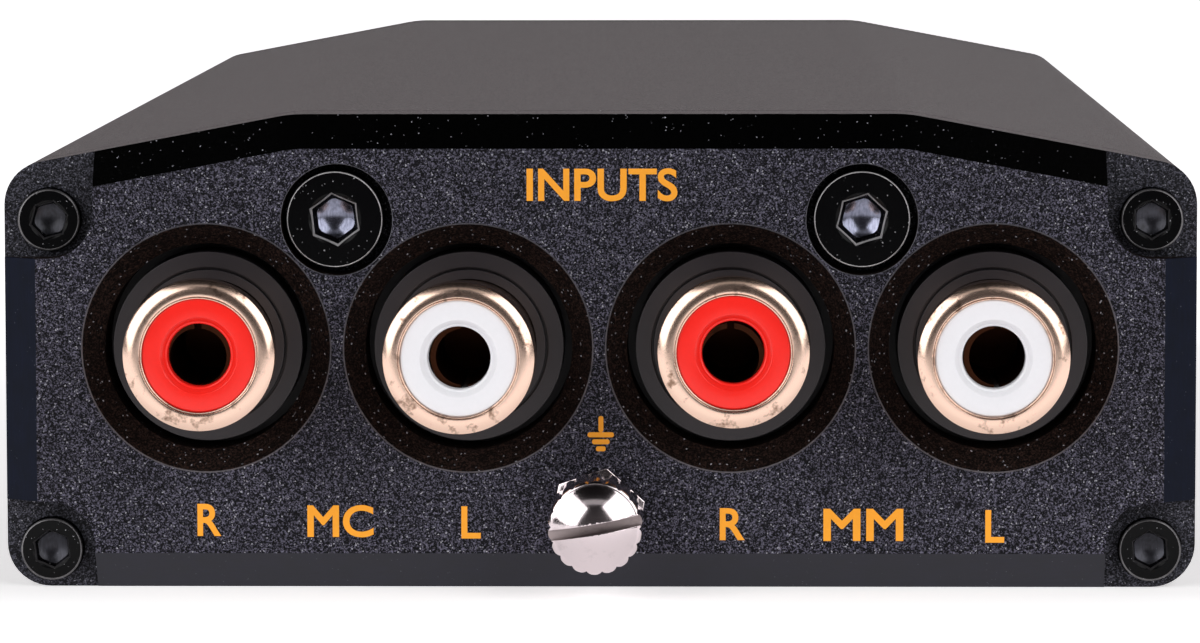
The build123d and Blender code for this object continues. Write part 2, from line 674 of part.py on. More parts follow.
def standing_box(x_size, y_size, height, edge):
    body = block(x_size, -y_size / 2, y_size / 2, 0, height)
    return chamfer(body.faces().sort_by(Axis.Z)[-1].edges(), edge)


def can_capacitor(radius, height):
    """Aluminium can on a square base, with the crimp above the base."""
    crimp = radius - 0.4
    can = revolve(
        make_face(
            Polyline(
                (0, 1), (radius, 1), (radius, 2), (crimp, 2.4), (radius, 2.8),
                (radius, height - 0.5), (radius - 0.5, height), (0, height), close=True,
            )
        ),
        Axis.Y,
    )
    return block(2 * radius, -radius, radius, 0, 1) + Rot(90, 0, 0) * can


def drum_inductor(radius, height):
    """Wound core between two flanges."""
    flange = height / 5
    core = radius * 0.75
    drum = turned(
        (0, 0),
        (radius, 0),
        (radius, flange),
        (core, flange),
        (core, height - flange),
        (radius, height - flange),
        (radius, height),
        (0, height),
    )
    return Rot(90, 0, 0) * drum


CHIP = standing_box(4.9, 6.0, 1.5, 0.3)
RELAY = standing_box(6.5, 10.0, 5.2, 0.4)
FILM_CAPACITOR = standing_box(7.2, 4.5, 9.0, 0.4)
REGULATOR = standing_box(6.5, 6.1, 2.3, 0.3)
RESISTOR = standing_box(1.6, 3.2, 0.6, 0.1)

nodes = {
    "case_tube": case_tube(),
    "input_plate": at_input(input_plate()),
    "output_plate": at_output(output_plate()),
    "input_plate_screws": [at_input(screw) for screw in corner_screws()],
    "output_plate_screws": [at_output(screw) for screw in corner_screws()],
    "input_jack_screws": [at_input(jack_screw(x)) for x in (-PAIR_X, PAIR_X)],
    "output_jack_screw": at_output(jack_screw(PAIR_X)),
    "mc_jack_block": at_input(jack_block(-PAIR_X)),
    "mm_jack_block": at_input(jack_block(PAIR_X)),
    "output_jack_block": at_output(jack_block(PAIR_X)),
    "ground_screw": at_input(ground_screw()),
    "ground_washer": at_input(ground_washer()),
    "ground_bush": at_input(ground_bush()),
    "ground_tag": at_input(ground_tag()),
    "eq_switch_body": at_output(switch_body(EQ_SWITCH_X)),
    "eq_switch_slider": at_output(switch_slider(EQ_SWITCH_X)),
    "filter_switch_body": at_output(switch_body(FILTER_SWITCH_X)),
    "filter_switch_slider": at_output(switch_slider(FILTER_SWITCH_X)),
    "light_pipe": at_output(light_pipe()),
    "status_led": at_output(status_led()),
    "dc_socket": at_output(dc_socket()),
    "dc_pin": at_output(dc_pin()),
    "gain_bank_body": bank_body(-BANK_X),
    "load_bank_body": bank_body(BANK_X),
    "main_board": main_board(),
    "input_relays": on_board(RELAY, grid(mirrored(8, 22), [-48])),
    "resistors": on_board(RESISTOR, grid(mirrored(4, 10, 16, 22), [-38, -33])),
    "amplifier_chips": on_board(CHIP, grid(mirrored(8, 22), [-26, -16])),
    "film_capacitors": on_board(FILM_CAPACITOR, grid(mirrored(7, 18), [-6, 2])),
    "can_capacitors": on_board(can_capacitor(4, 12), grid(mirrored(6, 17), [13, 24])),
    "supply_inductors": on_board(drum_inductor(5, 6), grid([-16, 0, 16], [38])),
    "regulator_chips": on_board(REGULATOR, grid([-18, -6, 6], [49])),
}

JACKS = {
    "mc_right": (at_input, -PAIR_X - JACK_PITCH / 2),
    "mc_left": (at_input, -PAIR_X + JACK_PITCH / 2),
    "mm_right": (at_input, PAIR_X - JACK_PITCH / 2),
    "mm_left": (at_input, PAIR_X + JACK_PITCH / 2),
    "output_right": (at_output, PAIR_X - JACK_PITCH / 2),
    "output_left": (at_output, PAIR_X + JACK_PITCH / 2),
}
for jack, (place, x) in JACKS.items():
    nodes[jack + "_shell"] = place(Pos(x, 0, JACK_Z) * jack_shell())
    nodes[jack + "_insert"] = place(Pos(x, 0, JACK_Z) * jack_insert())
    nodes[jack + "_contact"] = place(Pos(x, 0, JACK_Z) * jack_contact())

for bank, x in (("gain", -BANK_X), ("load", BANK_X)):
    for number, along in enumerate(bank_offsets(), start=1):
        nodes[f"{bank}_slider_{number}"] = bank_slider(x, along)

os.makedirs("parts", exist_ok=True)
for name, shape in nodes.items():
    whole = Compound(shape) if isinstance(shape, list) else shape
    export_step(whole, f"parts/{name}.step")
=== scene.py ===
"""Looks of a compact phono preamplifier: blasted black case, gold jacks, chrome thumb screw."""
import math

import bmesh
import bpy
from mathutils import Matrix, Vector


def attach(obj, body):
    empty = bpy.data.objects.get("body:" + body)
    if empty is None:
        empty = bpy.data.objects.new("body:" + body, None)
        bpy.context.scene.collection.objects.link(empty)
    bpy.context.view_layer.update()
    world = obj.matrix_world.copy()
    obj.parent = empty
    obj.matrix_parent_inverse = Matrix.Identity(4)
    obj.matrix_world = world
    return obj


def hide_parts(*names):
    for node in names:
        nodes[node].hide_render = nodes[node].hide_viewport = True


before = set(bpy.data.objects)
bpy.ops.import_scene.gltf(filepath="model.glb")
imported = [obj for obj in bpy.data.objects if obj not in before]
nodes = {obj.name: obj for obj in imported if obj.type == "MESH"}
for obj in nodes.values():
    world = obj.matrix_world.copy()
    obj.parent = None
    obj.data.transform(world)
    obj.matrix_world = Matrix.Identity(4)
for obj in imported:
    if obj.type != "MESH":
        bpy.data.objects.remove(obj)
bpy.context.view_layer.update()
MM = 0.001

# Sizes in millimetres, as in the frame.
FACE = -72.5  # raised face of the input plate
HALF_WIDTH = 34.0
PLATE_THICKNESS = 5
RIM_DEPTH = 1.5  # of the bevels round a raised face
RECESS_DEPTH = 1.2  # of the countersink round a jack
WELD = 0.0005  # points closer together than this become one

JACK_Z = 13.85
COLLAR_TO_LIP = 7.7
JACK_LENGTH = 14.8  # of a shell and its insert, from the lip to the tail
SHELL_RADIUS = 3.8
LIP_BORE = {"red": 3.18, "white": 3.27}  # inner radius of the lip
# Each jack's place along its plate, its colour, and how far its lip leans sideways and up.
JACKS = {
    "mc_right": (-22.38, "red", 0.12, 0.17),
    "mc_left": (-7.46, "white", -0.29, 0.0),
    "mm_right": (7.46, "red", 0.17, 0.35),
    "mm_left": (22.38, "white", -0.26, 0.03),
    "output_right": (7.46, "red", 0.1, -0.1),
    "output_left": (22.38, "white", -0.08, 0.12),
}

# Corner screws and jack screws: places as seen from outside, and how deep the heads sit.
CORNERS = [(-31.4, 21.1), (31.4, 21.1), (-31.4, 2.2), (31.4, 2.2)]
CORNER_SINK = 0.9
JACK_SCREW_Z = 21.17
JACK_SCREW_SINK = 0.3

# Ground terminal; turns are in degrees.
GROUND_X = -0.14
GROUND_Z = 4.25
GRIP_FRONT = 5.65  # front rim of the lobes, in front of the face
GRIP_LENGTH = 4.45
GRIP_RADIUS = 2.67  # over the lobes
GRIP_CHAMFER = 0.2
SHOULDER_RADIUS = 0.3007
DOME_RADIUS = 3.785
DOME_TOP = 0.85  # in front of the front rim
LOBES = 18
LOBE_RING = 2.14  # from the axis to the middle of a lobe
LOBE_RADIUS = 0.53
LOBE_TURN = 9
SLOT_WIDTH = 0.6
SLOT_FLOOR = -0.4  # behind the front rim
SLOT_TURN = 10
SHANK_RADIUS = 1.5
BUSH_BORE = 1.55
BUSH_RADIUS = 2.15
FLANGE_ACROSS = 5  # its flats
FLANGE_DEPTH = 0.8
FLANGE_TURN = 18.5


# ---------- Shader graphs ----------
EDGE_ROUND = 0.06  # how round machined edges look, in millimetres
DUST_SIZE = 0.0625
OFF, ON = (0, 0, 0, 1), (1, 1, 1, 1)


def srgb(r, g, b):
    """A linear colour from 0-255 screen values."""
    def linear(v):
        v /= 255
        return v / 12.92 if v <= 0.04045 else ((v + 0.055) / 1.055) ** 2.4
    return (linear(r), linear(g), linear(b), 1)


class Graph:
    """A material's node tree, built one node at a time."""

    def __init__(self, name):
        self.material = bpy.data.materials.new(name)
        self.material.use_nodes = True
        self.tree = self.material.node_tree
        self.tree.nodes.clear()
        self.place = self.add("TexCoord", "Object")

    def connect(self, socket, value):
        """Link a socket to another node's output, or give it a fixed value."""
        if isinstance(value, bpy.types.NodeSocket):
            self.tree.links.new(value, socket)
        else:
            socket.default_value = value

    def add(self, kind, out=0, ins=None, **settings):
        """Add a node with inputs and settings, and give back one of its outputs."""
        node = self.tree.nodes.new("ShaderNode" + kind)
        for key, value in settings.items():
            setattr(node, key, value)
        for key, value in (ins or {}).items():
            self.connect(node.inputs[key], value)
        return node.outputs[out]

    def noise(self, size_mm, detail, stretch=(1, 1, 1), rough=0.5):
        """Noise whose blobs are about size_mm across."""
        where = self.place
        if stretch != (1, 1, 1):
            where = self.add("Mapping", ins={"Vector": where, "Scale": stretch})
        ins = {"Vector": where, "Scale": 1 / (size_mm * MM), "Detail": detail, "Roughness": rough}
        return self.add("TexNoise", "Fac", ins)

    def cells(self, size_mm):
        """Grains about size_mm across, each in a colour of its own."""
        return self.add("TexVoronoi", "Color", {"Vector": self.place, "Scale": 1 / (size_mm * MM)})

    def channel(self, colour, index):
        """The red (0), green (1) or blue (2) part of a colour."""
        return self.add("SeparateColor", index, {"Color": colour})

    def specks(self, cells, share):
        """Light specks on the given share of the cells."""
        return self.ramp(self.channel(cells, 1), (0, OFF), (1 - share, OFF), (1, ON))

    def ramp(self, fac, *stops):
        """Colours at positions: (position, colour), ..."""
        node = self.tree.nodes.new("ShaderNodeValToRGB")
        elements = node.color_ramp.elements
        elements[0].position, elements[0].color = stops[0]
        elements[1].position, elements[1].color = stops[-1]
        for position, colour in stops[1:-1]:
            elements.new(position).color = colour
        self.tree.links.new(fac, node.inputs[0])
        return node.outputs[0]

    def mix(self, fac, a, b):
        """A blend of two colours; the inputs are found by index, as their names repeat."""
        node = self.tree.nodes.new("ShaderNodeMix")
        node.data_type = "RGBA"
        for index, value in ((0, fac), (6, a), (7, b)):
            self.connect(node.inputs[index], value)
        return node.outputs[2]

    def math(self, operation, a, b, c=0.0):
        """The result of a calculation with sockets or values."""
        return self.add("Math", 0, {0: a, 1: b, 2: c}, operation=operation)

    def bump(self, height, depth_mm, strength, edge_mm=0):
        """A normal that follows a height, over edges that look rounded by edge_mm."""
        ins = {"Height": height, "Distance": depth_mm * MM, "Strength": strength}
        if edge_mm:
            ins["Normal"] = self.add("Bevel", 0, {"Radius": edge_mm * MM}, samples=6)
        return self.add("Bump", 0, ins)

    def surface(self, **ins):
        """Finish with a Principled surface; underscores in names stand for spaces."""
        named = {key.replace("_", " "): value for key, value in ins.items()}
        shader = self.add("BsdfPrincipled", 0, named)
        out = self.tree.nodes.new("ShaderNodeOutputMaterial")
        self.tree.links.new(shader, out.inputs["Surface"])
        return self.material


def blasted(name, dark, mid, light, level, glint_share, grain=0.085, rough=0.5, bump=0.02):
    """Bead-blasted, anodised aluminium: fine grains from dark to light, and a few bright specks
    that are painted glints of the blasted facets.
    """
    g = Graph(name)
    cells = g.cells(grain)
    soft = g.noise(grain * 1.6, 3, rough=0.7)
    fac = g.math(
        "ADD", g.math("MULTIPLY", g.channel(cells, 0), 0.42), g.math("MULTIPLY", soft, 0.72)
    )
    colour = g.ramp(fac, (0.28, srgb(*dark)), (0.56, srgb(*mid)), (0.86, srgb(*light)))
    # Bright specks on a share of the grains: painted glints.
    colour = g.mix(g.specks(cells, glint_share), colour, srgb(175, 175, 185))
    wide = g.noise(9, 2)
    colour = g.mix(g.math("MULTIPLY", wide, 0.25), colour, srgb(*dark))
    normal = g.bump(fac, bump, 0.9, EDGE_ROUND)
    return g.surface(Base_Color=colour, Roughness=rough, Specular_IOR_Level=level, Normal=normal)


def machined(
    name, tone, light, rough=0.42, level=0.5, stretch=(1, 1, 0.12), dust=0.003,
    pale=(90, 90, 98), **more
):
    """Metal as it leaves the cutter: even tone, faint fine lines and a few dust specks."""
    g = Graph(name)
    lines = g.noise(0.12, 2, stretch)
    soft = g.noise(1.4, 3)
    fac = g.math("ADD", g.math("MULTIPLY", lines, 0.5), g.math("MULTIPLY", soft, 0.5))
    colour = g.ramp(fac, (0.3, srgb(*tone)), (0.7, srgb(*light)))
    spots = g.specks(g.cells(DUST_SIZE), dust)
    colour = g.mix(g.math("MULTIPLY", spots, 0.6), colour, srgb(*pale))
    return g.surface(
        Base_Color=colour,
        Roughness=rough,
        Specular_IOR_Level=level,
        Normal=g.bump(lines, 0.002, 0.5, EDGE_ROUND),
        **more,
    )


def plastic(name, colour, spread, rough, level, grain=0.25, bump=0.003, edge=0.0):
    """Moulded plastic with a slightly uneven tone."""
    g = Graph(name)
    fine = g.noise(grain, 3, rough=0.6)
    wide = g.noise(2.5, 2)
    base = srgb(*colour)
    low = tuple(c * (1 - spread) for c in base[:3]) + (1,)
    high = tuple(min(1, c * (1 + spread)) for c in base[:3]) + (1,)
    both = g.math("MULTIPLY_ADD", fine, 0.5, g.math("MULTIPLY", wide, 0.5))
    return g.surface(
        Base_Color=g.ramp(both, (0.3, low), (0.7, high)),
        Roughness=g.math("MULTIPLY_ADD", fine, 0.12, rough - 0.06),
        Specular_IOR_Level=level,
        Normal=g.bump(fine, bump, 0.6, edge),
    )


def plated(name, colour, rough, worn, scratch):
    """Plated metal: fine turning lines, small scratches and worn patches."""
    g = Graph(name)
    fine = g.noise(0.08, 2, (1, 0.15, 1))
    wide = g.noise(0.9, 3, rough=0.65)
    marks = g.ramp(wide, (0.58, OFF), (0.72, ON))
    tone = g.mix(g.math("MULTIPLY", marks, scratch), srgb(*colour), srgb(*worn))
    roughness = g.math("MULTIPLY_ADD", fine, 0.12, rough - 0.05)
    normal = g.bump(g.math("ADD", fine, g.math("MULTIPLY", wide, 2)), 0.0015, 0.6)
    return g.surface(Base_Color=tone, Metallic=1.0, Roughness=roughness, Normal=normal)


# Skins of the case: dark, middle and light grains, or tone and light of the cut parts. Several are
# lighter or darker copies of one blasted metal: painted light and shade.
FACE_SKIN = blasted(
    "blasted_face", (2, 2, 3), (17, 16, 22), (114, 112, 130), grain=0.072, level=0.1, glint_share=0.03
)
LAND_SKIN = blasted(
    "blasted_land", (4, 4, 6), (23, 23, 28), (96, 96, 108), grain=0.072, level=0.12, glint_share=0.02
)
# Recesses and hole walls: a darker, brown copy of the blasted skin, painted shade.
SHADED_CONE_SKIN = blasted(
    "blasted_countersink_painted_shade", (3, 1, 1), (16, 10, 9), (56, 41, 36),
    rough=0.6, level=0.08, glint_share=0.012,
)
# The case tube and the outer sides of the plates: a lighter, pinker copy of the blasted skin,
# painted sheen of the light that grazes the top.
SHEENED_TUBE_SKIN = blasted(
    "blasted_tube_painted_sheen", (31, 22, 24), (52, 38, 42), (104, 86, 91), level=0.24, glint_share=0.006, bump=0.11
)
# Upward bevels of the plates: a near-black copy of the case's metal, painted shade.
SHADED_TOP_BEVEL = blasted(
    "bevel_top_painted_shade", (0, 0, 0), (1, 1, 1), (3, 3, 4),
    grain=0.06, rough=0.25, level=0.18, glint_share=0.003, bump=0.004,
)
SIDE_BEVEL = machined("bevel_side", (4, 9, 22), (9, 16, 35), level=0.08)
# Downward bevels: lighter and shinier than the upward ones, painted light.
LIT_LOW_BEVEL = machined("bevel_low_painted_light", (10, 10, 22), (16, 15, 32), level=0.4, stretch=(0.12, 1, 1))
# Deburred edges in lighter metal: partly bare metal, partly a painted highlight.
CUT_EDGE = machined("deburred_edge_and_highlight", (70, 70, 76), (112, 112, 120), rough=0.4, Metallic=0.6)

# Black screws: body; edges and socket bottoms in lighter steel, painted highlights.
BLACK_STEEL = machined(
    "black_oxide", (2, 2, 3), (5, 5, 6), rough=0.22, level=0.1, dust=0.006, pale=(200, 200, 205)
)
# Edges of the large screws: lighter steel, a painted highlight.
BRIGHT_EDGE_HIGHLIGHT = machined(
    "painted_edge_highlight", (130, 128, 130), (205, 202, 204), rough=0.35, level=0.6, Metallic=0.35
)
# Edges of the small screws: lighter steel, a dimmer painted highlight.
SOFT_RIM_HIGHLIGHT = machined(
    "painted_rim_highlight", (70, 68, 70), (120, 118, 120), rough=0.28, level=0.6, Metallic=0.75
)
# Bottoms of the sockets, dimmer in the small screws and brighter in the large: lighter steel than
# the body, painted highlights.
DIM_SOCKET_HIGHLIGHT = machined("dim_painted_socket_highlight", (22, 22, 26), (56, 56, 64), rough=0.3, level=0.6, Metallic=0.7)
BRIGHT_SOCKET_HIGHLIGHT = machined(
    "painted_socket_highlight", (84, 86, 100), (136, 138, 156), rough=0.2, level=0.8, Metallic=1.0
)

# Jacks, ground terminal and print.
COLLAR = plastic("collar_plastic", (38, 34, 37), 0.14, 0.38, 0.38, 0.06, 0.006, edge=0.07)
RED = plastic("red_plastic", (248, 42, 34), 0.03, 0.22, 0.35)
WHITE = plastic("white_plastic", (238, 238, 242), 0.02, 0.2, 0.35)
INSULATORS = {"red": RED, "white": WHITE}
GOLD = plated("gold_plate", (221, 190, 172), 0.2, (96, 66, 46), 0.8)
# Contacts and parts deep inside: brass darkened to near black, painted shade of the holes.
SHADED_BRASS = plated("contact_brass_painted_shade", (58, 32, 20), 0.4, (22, 12, 8), 0.8)
CHROME = plated("chrome_plate", (204, 192, 195), 0.12, (120, 108, 108), 0.15)
MILLED = plated("milled_slot", (150, 138, 138), 0.42, (90, 80, 80), 0.4)
ORANGE = plastic("orange_print", (251, 167, 49), 0.05, 0.55, 0.2, 0.15, 0.01)

# Switches, board and components.
DARK_PLASTIC = plastic("dark_plastic", (30, 30, 33), 0.1, 0.45, 0.4, edge=0.08)
KNOB_PLASTIC = plastic("knob_plastic", (46, 46, 50), 0.1, 0.4, 0.4, edge=0.1)
BANK_PLASTIC = plastic("bank_plastic", (26, 48, 110), 0.1, 0.4, 0.4)
SLIDER_PLASTIC = plastic("slider_plastic", (228, 228, 224), 0.05, 0.4, 0.4)
CLEAR = plastic("clear_rod", (205, 225, 235), 0.03, 0.12, 0.5)
BOARD = plastic("board_mask", (18, 62, 40), 0.15, 0.3, 0.5, 0.8)
CAN = plated("can_metal", (190, 190, 196), 0.3, (120, 120, 124), 0.2)
FILM = plastic("film_capacitor", (150, 34, 28), 0.1, 0.3, 0.5)
RELAY = plastic("relay_case", (220, 218, 210), 0.05, 0.4, 0.4)
FERRITE = plastic("ferrite", (40, 40, 44), 0.2, 0.5, 0.4)


# ---------- CAD nodes ----------
def paint(node, *materials, rule=None):
    """Give a CAD node its materials; rule picks one by a facet's centre (mm) and normal."""
    mesh = nodes[node].data
    mesh.materials.clear()
    for material in materials:
        mesh.materials.append(material)
    for facet in mesh.polygons:
        skin = rule(facet.center / MM, facet.normal) if rule else materials[0]
        facet.material_index = materials.index(skin)


def plate_skin(centre, normal):
    """Skin of an end plate's facet, told by its depth behind the raised face and its slope."""
    depth = abs(FACE) - abs(centre.y)
    level = abs(normal.y)  # 1 on a facet that looks straight out
    if depth < 0.01:
        return FACE_SKIN
    if depth < 0.05 and 0.5 < level < 0.95:
        return CUT_EDGE
    if level > 0.99:
        return LAND_SKIN
    # Walls: the plates' outer sides take the sheened tube skin, painted sheen; walls of holes and
    # recesses take the shaded cone skin, painted shade.
    if level < 0.2:
        side = abs(centre.x) > HALF_WIDTH - 0.1 or centre.z < 0.05
        roof = centre.z > 23.5 and depth > RIM_DEPTH - 0.1
        return SHEENED_TUBE_SKIN if side or roof else SHADED_CONE_SKIN
    # Countersinks round the jacks take the shaded cone skin: painted shade.
    if depth < RECESS_DEPTH + 0.05 and abs(centre.x) < 31 and 5 < centre.z < 22.5:
        return SHADED_CONE_SKIN
    # Bevels take a skin by which way they face: near black facing up, painted shade; lighter
    # facing down, painted light.
    if normal.z > 0.3:
        return SHADED_TOP_BEVEL
    return LIT_LOW_BEVEL if normal.z < -0.3 else SIDE_BEVEL


for plate in ("input_plate", "output_plate"):
    paint(
        plate, FACE_SKIN, LAND_SKIN, SHADED_CONE_SKIN, SHADED_TOP_BEVEL, SIDE_BEVEL, LIT_LOW_BEVEL, SHEENED_TUBE_SKIN,
        CUT_EDGE, rule=plate_skin,
    )
for material, names in (
    (SHEENED_TUBE_SKIN, ["case_tube"]),
    (COLLAR, ["mc_jack_block", "mm_jack_block", "output_jack_block", "dc_socket"]),
    (DARK_PLASTIC, ["eq_switch_body", "filter_switch_body"]),
    (DARK_PLASTIC, ["amplifier_chips", "regulator_chips", "resistors"]),
    (KNOB_PLASTIC, ["eq_switch_slider", "filter_switch_slider"]),
    (BANK_PLASTIC, ["gain_bank_body", "load_bank_body"]),
    (SLIDER_PLASTIC, [f"{bank}_slider_{n}" for bank in ("gain", "load") for n in range(1, 5)]),
    (SHADED_BRASS, [jack + "_contact" for jack in JACKS] + ["ground_tag", "dc_pin"]),
    (CLEAR, ["light_pipe"]),
    (RELAY, ["status_led", "input_relays"]),
    (BOARD, ["main_board"]),
    (FILM, ["film_capacitors"]),
    (CAN, ["can_capacitors"]),
    (FERRITE, ["supply_inductors"]),
):
    for name in names:
        paint(name, material)


# ---------- Tools for the pieces shaped here ----------
def smoothed(mesh, angle):
    """Smooth shading, with edges sharper than an angle in degrees left crisp."""
    mesh.shade_smooth()
    mesh.set_sharp_from_angle(angle=math.radians(angle))


def finish_piece(bm, name, materials, place, angle=35):
    """Turn a bmesh in millimetres, built round +Z, into a piece that faces -Y at a place."""
    bmesh.ops.remove_doubles(bm, verts=bm.verts, dist=WELD)
    loose = [edge for edge in bm.edges if not edge.link_faces]
    bmesh.ops.delete(bm, geom=loose, context="EDGES")
    bmesh.ops.recalc_face_normals(bm, faces=bm.faces)
    bmesh.ops.transform(bm, matrix=place, verts=bm.verts)
    bmesh.ops.scale(bm, vec=(MM, MM, MM), verts=bm.verts)
    mesh = bpy.data.meshes.new(name)
    bm.to_mesh(mesh)
    bm.free()
    for material in materials:
        mesh.materials.append(material)
    smoothed(mesh, angle)
    piece = bpy.data.objects.new(name, mesh)
    bpy.context.scene.collection.objects.link(piece)
    return piece


def facing(end, x, y, z):
    """The place of a piece built round +Z, which points out of that end; x as seen from there."""
    turn = Matrix.Rotation(math.radians(90), 4, "X")
    if end > 0:
        turn = Matrix.Rotation(math.pi, 4, "Z") @ turn
    return Matrix.Translation((x if end < 0 else -x, y, z)) @ turn


def spun(profile, steps=128):
    """A closed (radius, height) outline turned round Z."""
    bm = bmesh.new()
    points = [bm.verts.new((r, 0, h)) for r, h in profile]
    loop = points + points[:1]
    edges = [bm.edges.new(pair) for pair in zip(loop, loop[1:])]
    bmesh.ops.spin(
        bm, geom=points + edges, axis=(0, 0, 1), cent=(0, 0, 0), angle=math.tau, steps=steps,
        use_merge=True,
    )
    return bm


def arc(centre, radius, start, end, count):
    """Points of a fillet, in degrees from the +radius direction."""
    angles = [math.radians(start + (end - start) * n / count) for n in range(count + 1)]
    return [(centre[0] + radius * math.cos(a), centre[1] + radius * math.sin(a)) for a in angles]


def swung(bm, angle):
    """Turn everything in a bmesh round Z, by an angle in radians."""
    turn = Matrix.Rotation(angle, 3, "Z")
    bmesh.ops.rotate(bm, cent=(0, 0, 0), matrix=turn, verts=bm.verts)


def extruded(bm, height):
    """Stand the one flat outline in a bmesh up into a bar."""
    face = bmesh.ops.contextual_create(bm, geom=bm.edges[:])["faces"]
    grown = bmesh.ops.extrude_face_region(bm, geom=face)["geom"]
    top = [g for g in grown if isinstance(g, bmesh.types.BMVert)]
    bmesh.ops.translate(bm, vec=(0, 0, height), verts=top)


def evaluated_mesh(piece):
    """A new mesh of a piece as its modifiers or its curve leave it."""
    bpy.context.view_layer.update()
    shown = piece.evaluated_get(bpy.context.evaluated_depsgraph_get())
    return bpy.data.meshes.new_from_object(shown)


def shaped(piece, angle, *modifiers):
    """Apply modifiers, given as (kind, settings), to a piece's mesh."""
    for kind, settings in modifiers:
        modifier = piece.modifiers.new(kind.title(), kind)
        for key, value in settings.items():
            setattr(modifier, key, value)
    mesh = evaluated_mesh(piece)
    piece.modifiers.clear()
    piece.data = mesh
    smoothed(mesh, angle)


def cutter(bm, name, skin, materials, place):
    """A piece that cuts a hole; skin is the hole's place in the list of materials."""
    for facet in bm.faces:
        facet.material_index = skin
    return finish_piece(bm, name, materials, place)


# ---------- Jacks ----------
def jack_shell(name, place, bore):
    """Lip with a low crown, a hairline groove and a thin inner rim, on a tube into the case."""
    tail = [(3.25, -JACK_LENGTH), (SHELL_RADIUS, -JACK_LENGTH)]
    back = [(SHELL_RADIUS, -2.2), (4.1, -1.9)] + arc((4.185, -1.85), 0.075, -45, 0, 3)
    crown = arc((4.186, -0.328), 0.075, 0, 52, 6) + arc((3.45, -1.27), 1.27, 52, 90, 16)
    groove = arc((bore + 0.17, -0.04), 0.04, 90, 180, 3)
    groove += [(bore + 0.13, -0.16), (bore + 0.105, -0.16)]
    rim = arc((bore + 0.055, -0.1), 0.05, 0, 180, 8) + [(bore + 0.005, -0.35), (3.22, -0.6)]
    return finish_piece(spun(tail + back + crown + groove + rim), name, [GOLD], place, 50)


def jack_insert(name, place, colour, bore):
    """Insulator with a shallow dish round its hole."""
    tail = [(1.95, -JACK_LENGTH), (3.17, -JACK_LENGTH), (3.17, -0.6)]
    edge = arc((bore - 0.1, -0.28), 0.1, 0, 90, 4)
    dish = arc((2.2, -0.26), 0.08, 90, 125, 3) + [(1.9, -0.52)]
    hole = arc((1.9, -0.65), 0.13, 90, 175, 5) + [(1.74, -1.25), (1.95, -1.25)]
    return finish_piece(spun(tail + edge + dish + hole), name, [colour], place, 40)


for jack, (x, colour, dx, dz) in JACKS.items():
    end = 1 if jack.startswith("output") else -1
    lean = Matrix.Identity(4)
    lean[0][2], lean[1][2] = dx / COLLAR_TO_LIP, dz / COLLAR_TO_LIP
    collar = facing(end, x, end * (abs(FACE) - RECESS_DEPTH), JACK_Z)
    spot = collar @ lean @ Matrix.Translation((0, 0, COLLAR_TO_LIP))
    bore = LIP_BORE[colour]
    shell = jack_shell(jack + "_shell_fine", spot, bore)
    insert = jack_insert(jack + "_insert_fine", spot, INSULATORS[colour], bore)
    pair = (shell, "_shell", "gold"), (insert, "_insert", colour + "_insulator")
    for piece, node, slot in pair:
        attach(piece, "housing")
        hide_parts(jack + node)


# ---------- Socket screws ----------
def hexagon(turn, wide, narrow, depth):
    """A tapered hexagonal bar: its corners lie wide out at height 0 and narrow out at its foot."""
    above = 0.4  # how far it stands out of what it cuts
    bm = bmesh.new()
    top = wide + (wide - narrow) * above / depth
    bmesh.ops.create_cone(
        bm, cap_ends=True, segments=6, radius1=narrow, radius2=top, depth=depth + above
    )
    bmesh.ops.translate(bm, vec=(0, 0, (above - depth) / 2), verts=bm.verts)
    swung(bm, math.radians(turn))
    return bm


def socket_screw(
    name, place, turn, rim, bottom, radius, height, across, inner, depth, edge, shank, length
):
    """Socket head cap screw: edges in lighter steel as a painted highlight, chamfered mouth,
    tapered hexagon and a drilled cone in lighter steel, also a painted highlight.

    The hexagon is across wide over its flats at the mouth and inner wide at its depth.
    """
    skins = [BLACK_STEEL, rim, bottom]
    end = -height - length
    outline = [(0, end), (shank, end), (shank, -height), (radius, -height)]
    solid = spun(outline + arc((radius - edge, -edge), edge, 0, 90, 3) + [(0, 0)], 96)
    bmesh.ops.remove_doubles(solid, verts=solid.verts, dist=WELD)
    poles = [v for v in solid.verts if v.co.to_2d().length < 0.001]
    bmesh.ops.dissolve_verts(solid, verts=poles)
    for facet in solid.faces:
        middle = facet.calc_center_median()
        # Facets on the rounded edge take the rim skin: painted highlight.
        if middle.z > -edge and middle.to_2d().length > radius - edge:
            facet.material_index = skins.index(rim)
    screw = finish_piece(solid, name, skins, place, 30)
    wide, narrow = across / math.sqrt(3), inner / math.sqrt(3)
    bit = inner * 0.56
    tip = -depth - bit * 0.58
    # The drilled cone is lined with the bottom skin, lighter steel: painted highlight.
    drill = spun([(0, 0.02 - depth), (bit, 0.02 - depth), (0, tip)], 64)
    mouth = spun([(0, 0.3), (wide + 0.66, 0.3), (wide - 0.22, -0.1), (0, -0.1)], 96)
    # A band round the hexagon's mouth takes the rim skin: painted highlight on its edges.
    lip = hexagon(turn, wide + 0.045, wide - 0.06, 0.3)
    cutters = [
        cutter(hexagon(turn, wide, narrow, depth), "socket", 0, skins, place),
        cutter(drill, "drill", 2, skins, place),
        cutter(mouth, "mouth", 0, skins, place),
        cutter(lip, "lip", 1, skins, place),
    ]
    steps = [("BOOLEAN", {"operation": "DIFFERENCE", "object": tool}) for tool in cutters]
    shaped(screw, 14, *steps)
    for tool in cutters:
        bpy.data.objects.remove(tool)
    return screw


